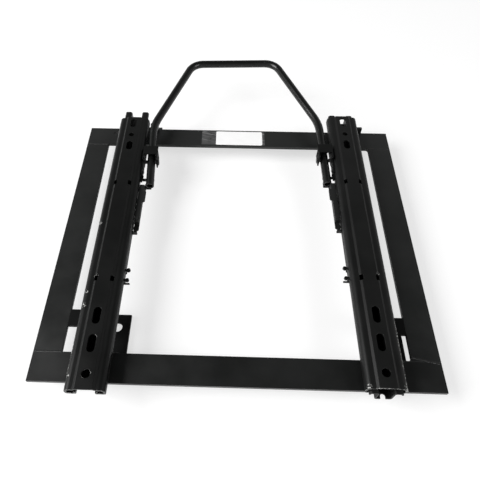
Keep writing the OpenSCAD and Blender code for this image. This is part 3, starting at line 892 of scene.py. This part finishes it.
@dataclass
class RippleTree:
    """Geometry Nodes tree that lays overlapping weld ripples along a line."""

    name: str = "weld_ripples"
    least: float = 0.82
    most: float = 1.18
    overlap: float = 1.1
    roundness: int = 2

    def build(self, material: bpy.types.Material) -> bpy.types.NodeTree:
        """Builds the tree.

        Args:
            material: The material of the ripples.

        Returns:
            The node tree with its named inputs.
        """
        group = bpy.data.node_groups.new(self.name, "GeometryNodeTree")
        for name in ("Length", "Width", "Height", "Pitch"):
            group.interface.new_socket(name, in_out="INPUT", socket_type=FLOAT)
        group.interface.new_socket("Seed", in_out="INPUT", socket_type="NodeSocketInt")
        group.interface.new_socket("Geometry", in_out="OUTPUT", socket_type="NodeSocketGeometry")
        tree = Tree(group.nodes, group.links)
        given = tree.add("NodeGroupInput").outputs
        leave = tree.add("NodeGroupOutput").inputs
        line = tree.add("GeometryNodeMeshLine", mode="OFFSET")
        gaps = tree.math("DIVIDE", given["Length"], given["Pitch"])
        tree.join(tree.math("ADD", gaps, 1.0), line.inputs["Count"])
        step = tree.add("ShaderNodeCombineXYZ")
        tree.join(given["Pitch"], step.inputs["X"])
        tree.join(step.outputs[0], line.inputs["Offset"])
        drop = tree.add("GeometryNodeMeshIcoSphere")
        drop.inputs["Radius"].default_value = 1.0
        drop.inputs["Subdivisions"].default_value = self.roundness
        chance = tree.add("FunctionNodeRandomValue", data_type="FLOAT")
        chance.inputs[RANDOM_LEAST].default_value = self.least
        chance.inputs[RANDOM_MOST].default_value = self.most
        tree.join(given["Seed"], chance.inputs["Seed"])
        size = tree.add("ShaderNodeCombineXYZ")
        tree.join(tree.math("MULTIPLY", given["Pitch"], self.overlap), size.inputs["X"])
        tree.join(tree.math("MULTIPLY", given["Width"], 0.5), size.inputs["Y"])
        tree.join(given["Height"], size.inputs["Z"])
        scale = tree.vector("SCALE", size.outputs[0])
        tree.join(chance.outputs[RANDOM_RESULT], scale.inputs["Scale"])
        spread = tree.add("GeometryNodeInstanceOnPoints")
        tree.join(line.outputs["Mesh"], spread.inputs["Points"])
        tree.join(drop.outputs["Mesh"], spread.inputs["Instance"])
        tree.join(scale.outputs[0], spread.inputs["Scale"])
        real = tree.add("GeometryNodeRealizeInstances")
        tree.join(spread.outputs[0], real.inputs[0])
        dress = tree.add("GeometryNodeSetMaterial")
        dress.inputs["Material"].default_value = material
        tree.join(real.outputs[0], dress.inputs["Geometry"])
        tree.join(dress.outputs[0], leave["Geometry"])
        return group


@dataclass
class FrameWelds:
    """The weld seams of the bar frame and the weld fill in its window corners, in millimetres."""

    groups: Groups
    half_width: float = 189.0
    rear_edge: float = -212.645
    front_edge: float = 107.355
    bar_bottom: float = 25.0
    bar_top: float = 29.5
    half_frame: float = 220.0
    top_bead: Bead = Bead(2.8, 0.12, 0.9)
    top_sink: float = 0.04
    end_gap: float = 1.2
    # Corner, then how far the seam lies ahead of the bar's edge at the window and at the side
    top_runs: tuple[tuple[Corner, float, float], ...] = (
        (Corner.FRONT_LEFT, -0.6, -0.9),
        (Corner.FRONT_RIGHT, -0.6, -0.9),
        (Corner.REAR_LEFT, 0.0, 0.0),
        (Corner.REAR_RIGHT, 4.6, -2.0),
    )
    foot_bead: Bead = Bead(2.6, 1.3, 1.9)
    foot_ahead: float = 0.5
    foot_rise: float = 1.6
    foot_runs: tuple[Span, ...] = ((-152.0, -126.0), (150.0, 188.0))
    # Corner and the radius of its hollow face
    fills: tuple[tuple[Corner, float], ...] = (
        (Corner.REAR_LEFT, 1.5),
        (Corner.REAR_RIGHT, 5.0),
        (Corner.FRONT_LEFT, 1.2),
        (Corner.FRONT_RIGHT, 3.6),
    )
    fill_steps: int = 8
    fill_overlap: float = 0.05
    fill_above: float = 0.1
    fill_below: float = 0.06

    def edge(self, corner: Corner) -> float:
        """The Y of the window's edge at a corner."""
        return self.front_edge if corner.value[1] > 0 else self.rear_edge

    def seams(self) -> list[Seam]:
        """Lists the runs of weld that show."""
        z = self.bar_top - self.top_sink
        seams = []
        for corner, at_window, at_side in self.top_runs:
            side, y = corner.value[0], self.edge(corner)
            start = (side * self.half_width, y + at_window, z)
            end = (side * (self.half_frame - self.end_gap), y + at_side, z)
            seams.append(Seam(start, end, self.top_bead))
        y, z = self.rear_edge + self.foot_ahead, self.bar_bottom + self.foot_rise
        for left, right in self.foot_runs:
            seams.append(Seam((left, y, z), (right, y, z), self.foot_bead))
        return seams

    def ripple_shape(self, tree: bpy.types.NodeTree, seam: Seam, seed: int) -> Shape:
        """Lays one seam out and brings it to its place.

        Args:
            tree: The ripple tree.
            seam: The run of weld.
            seed: The seed of its ripples.

        Returns:
            Points in metres and faces.
        """
        start, end = Vector(seam.start) * MM, Vector(seam.end) * MM
        values = {
            "Length": (end - start).length,
            "Width": seam.bead.width * MM,
            "Height": seam.bead.height * MM,
            "Pitch": seam.bead.pitch * MM,
            "Seed": seed,
        }
        holder = bpy.data.objects.new("seam", bpy.data.meshes.new("seam"))
        bpy.context.collection.objects.link(holder)
        modifier = holder.modifiers.new("ripples", "NODES")
        modifier.node_group = tree
        for item in tree.interface.items_tree:
            if item.in_out == "INPUT":
                modifier[item.identifier] = values[item.name]
        depsgraph = bpy.context.evaluated_depsgraph_get()
        mesh = bpy.data.meshes.new_from_object(holder.evaluated_get(depsgraph))
        bpy.data.objects.remove(holder)
        up = Vector((0.0, 0.0, 1.0))
        along = (end - start).normalized()
        turn = Matrix((along, up.cross(along), up)).transposed().to_4x4()
        mesh.transform(Matrix.Translation(start) @ turn)
        points = [tuple(vertex.co) for vertex in mesh.vertices]
        faces = [tuple(polygon.vertices) for polygon in mesh.polygons]
        bpy.data.meshes.remove(mesh)
        return points, faces

    def fill_shape(self, corner: Corner, radius: float) -> Shape:
        """Shapes the weld fill of one window corner.

        Args:
            corner: The corner of the frame.
            radius: The radius of its hollow face in millimetres.

        Returns:
            Points in metres and faces.
        """
        sx, sy = corner.value
        x = sx * (self.half_width + self.fill_overlap)
        y = self.edge(corner) + sy * self.fill_overlap
        outline = [(0.0, 0.0)]
        for step in range(self.fill_steps + 1):
            angle = math.radians(-QUARTER - QUARTER * step / self.fill_steps)
            outline.append((radius * (1.0 + math.cos(angle)), radius * (1.0 + math.sin(angle))))
        points = []
        for z in (self.bar_bottom + self.fill_above, self.bar_top - self.fill_below):
            points += [((x - sx * a) * MM, (y - sy * b) * MM, z * MM) for a, b in outline]
        n = len(outline)
        faces = [tuple(reversed(range(n))), tuple(range(n, 2 * n)), *band(0, n)]
        if sx * sy < 0:
            faces = [tuple(reversed(face)) for face in faces]
        return points, faces

    def build(self) -> None:
        """Builds the welds as one piece."""
        paint = BlackPaint("weld_paint", base=0.0085, rough=0.42, edge_tone=0.02)
        material = paint.material(self.groups)
        tree = RippleTree().build(material)
        shapes = [self.ripple_shape(tree, seam, seed) for seed, seam in enumerate(self.seams())]
        shapes += [self.fill_shape(corner, radius) for corner, radius in self.fills]
        piece = base_piece("frame_welds", joined(shapes), material)


@dataclass
class Label:
    """The blank sticker on the front bar and the clear tape that holds it down, in millimetres."""

    groups: Groups
    corner: float = 2.4
    tape_corner: float = 0.4
    tape_past: float = 3.4
    rim: float = 0.12
    steps: int = 6
    corners: tuple[Corner, ...] = (
        Corner.FRONT_RIGHT, Corner.FRONT_LEFT, Corner.REAR_LEFT, Corner.REAR_RIGHT,
    )

    def outline(self, low: Vector, high: Vector, radius: float, inset: float) -> list[Span]:
        """Walks round a sheet's edge.

        Args:
            low: The lower corner of the sheet's box in metres.
            high: The upper corner of the sheet's box in metres.
            radius: The corner radius in metres.
            inset: How far the line runs inside the edge, in metres.

        Returns:
            The line's points, anticlockwise.
        """
        line = []
        arc = radius - inset
        for turn, corner in enumerate(self.corners):
            sx, sy = corner.value
            x = (high.x if sx > 0 else low.x) - sx * radius
            y = (high.y if sy > 0 else low.y) - sy * radius
            for step in range(self.steps + 1):
                angle = math.radians(QUARTER * turn + QUARTER * step / self.steps)
                line.append((x + arc * math.cos(angle), y + arc * math.sin(angle)))
        return line

    def sheet(self, low: Vector, high: Vector, corner: float) -> Shape:
        """Shapes a thin sheet with rounded corners and a soft upper rim.

        Args:
            low: The lower corner of the sheet's box in metres.
            high: The upper corner of the sheet's box in metres.
            corner: The corner radius in millimetres.

        Returns:
            Points in metres and faces.
        """
        rim = self.rim * MM
        points = []
        for inset, z in ((0.0, low.z), (0.0, high.z - rim), (rim, high.z)):
            points += [(x, y, z) for x, y in self.outline(low, high, corner * MM, inset)]
        n = len(self.corners) * (self.steps + 1)
        faces = [tuple(reversed(range(n))), tuple(range(2 * n, 3 * n)), *band(0, n), *band(n, n)]
        return points, faces

    def build(self) -> None:
        """Builds the sticker and the tape over their nodes."""
        low, high = (Vector(corner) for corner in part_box("label"))
        paper = Sticker("label_stock").material(self.groups)
        sticker = base_piece("blank_label", self.sheet(low, high, self.corner), paper)
        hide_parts("label")
        tape_low, tape_high = (Vector(corner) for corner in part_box("label_tape"))
        end_low = Vector((high.x, tape_low.y, tape_low.z))
        end_high = Vector((high.x + self.tape_past * MM, tape_high.y, tape_high.z))
        sheets = [
            self.sheet(tape_low, tape_high, self.tape_corner),
            self.sheet(end_low, end_high, self.tape_corner),
        ]
        film = Tape("tape_stock").material(self.groups)
        tape = base_piece("tape_film", joined(sheets), film)
        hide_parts("label_tape")


@dataclass
class CadDress:
    """Finishes for the nodes that come straight from the solids."""

    groups: Groups
    left_zones: tuple[Zone, ...] = (
        Zone((-165, -261, 45), (10, 2.5, 12), Wear.EDGE),
        Zone((-137, -261, 45), (10, 2.5, 12), Wear.EDGE),
        Zone((-171, -225, 48.4), (1.5, 42, 2.3)),
        Zone((-169, -54, 51), (3, 3, 4)),
        Zone((-168, -167, 51), (3, 4, 4)),
        Zone((-168, -150, 51), (3, 3, 4)),
        Zone((-170, -246, 50), (3, 3, 4)),
        Zone((-146, -202, 54), (4, 4, 4), Wear.EDGE),
        Zone((-155, -248, 54), (4, 3, 4), Wear.EDGE),
        Zone((-145, -242, 54), (3, 4, 4), Wear.EDGE),
        Zone((-160, -130, 53), (4, 4, 4), Wear.EDGE),
    )
    right_zones: tuple[Zone, ...] = (
        Zone((135, -251, 45), (10, 3.0, 12), Wear.EDGE),
        Zone((133, -248, 51), (3, 3, 3)),
        Zone((170, -248, 48), (4.5, 6, 7)),
        Zone((151, -251, 54), (26, 2.5, 8), Wear.EDGE),
        Zone((170.6, -200, 49), (2.2, 80, 3.0)),
        Zone((161, -118, 53), (2.6, 2.6, 3)),
    )

    def finishes(self) -> list[tuple[tuple[str, ...], Finish]]:
        """Lists the finishes with words from the names of the nodes that wear them.

        Returns:
            Words and finishes. A node wears the first finish with a word that its name contains, and
            the last one, whose word is empty, takes the rest.
        """
        left = BlackPaint(
            "left_rail_paint", base=0.0050, rough=0.34, shine=0.24, dust=0.04, zones=self.left_zones
        )
        right = BlackPaint(
            "right_rail_paint", base=0.0046, rough=0.45, shine=0.29, dust=0.04, zones=self.right_zones
        )
        steel = Steel("blackened_steel", light=0.05, dark=0.02, rough=0.42, metal=0.4)
        latch = BlackPaint("latch_paint", base=0.004, rough=0.50, shine=0.16, dust=0.03)
        lever = BlackPaint("lever_paint", base=0.012, rough=0.50, shine=0.30, dust=0.03)
        # The supports wear a darker copy of the black paint: painted shade for the shadow they lie in
        # beside the rails.
        support = BlackPaint("support_painted_shade", base=0.0028, rough=0.45, shine=0.14, dust=0.02)
        # The rear foot wears a darker copy of the black paint: painted shade for the shadow under the
        # frame.
        foot = BlackPaint("foot_painted_shade", base=0.0062, rough=0.45, shine=0.2, dust=0.02)
        tube = BlackPaint("lift_bar_paint", base=0.0055, rough=0.26, shine=0.44, dust=0.04)
        return [
            (("rivets", "bar_pin", "torsion_rod", "stop_studs"), steel),
            (("balls",), Steel("bearing_steel", light=0.7, dark=0.55, rough=0.18, metal=1.0)),
            (("cages",), Nylon("natural_nylon")),
            (("label_tape",), Tape("clear_tape")),
            (("label",), Sticker("blank_sticker")),
            (("bracket",), latch),
            (("lever",), lever),
            (("support",), support),
            (("rear_foot",), foot),
            (("lift_bar",), tube),
            (("rail_left",), left),
            (("rail_right",), right),
            # The rear bar wears a darker copy of the bar paint: painted shade, darker than the front bar
            # because of how the light falls.
            (("rear_bar",), BlackPaint("rear_bar_painted_shade", base=0.0082, rough=0.34, dust=0.05)),
            (("",), BlackPaint("bar_paint", base=0.0112, rough=0.34, dust=0.05)),
        ]

    def paint(self, node: str, material: bpy.types.Material) -> None:
        """Puts one material on a node.

        Args:
            node: The node's name.
            material: The material to show on it.
        """
        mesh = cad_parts[node].data
        mesh.materials.clear()
        mesh.materials.append(material)
        LOG.info("dressed %s with %s", node, material.name)

    def build(self) -> None:
        """Dresses every node."""
        made = [(words, finish.material(self.groups)) for words, finish in self.finishes()]
        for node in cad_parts:
            self.paint(node, next(coat for words, coat in made if any(word in node for word in words)))


def main() -> None:
    """Builds the stage and dresses the part."""
    logging.basicConfig(level=logging.INFO)
    Stage().build()
    groups = Groups()
    CadDress(groups).build()
    FrameWelds(groups).build()
    Label(groups).build()


if __name__ == "__main__":
    main()
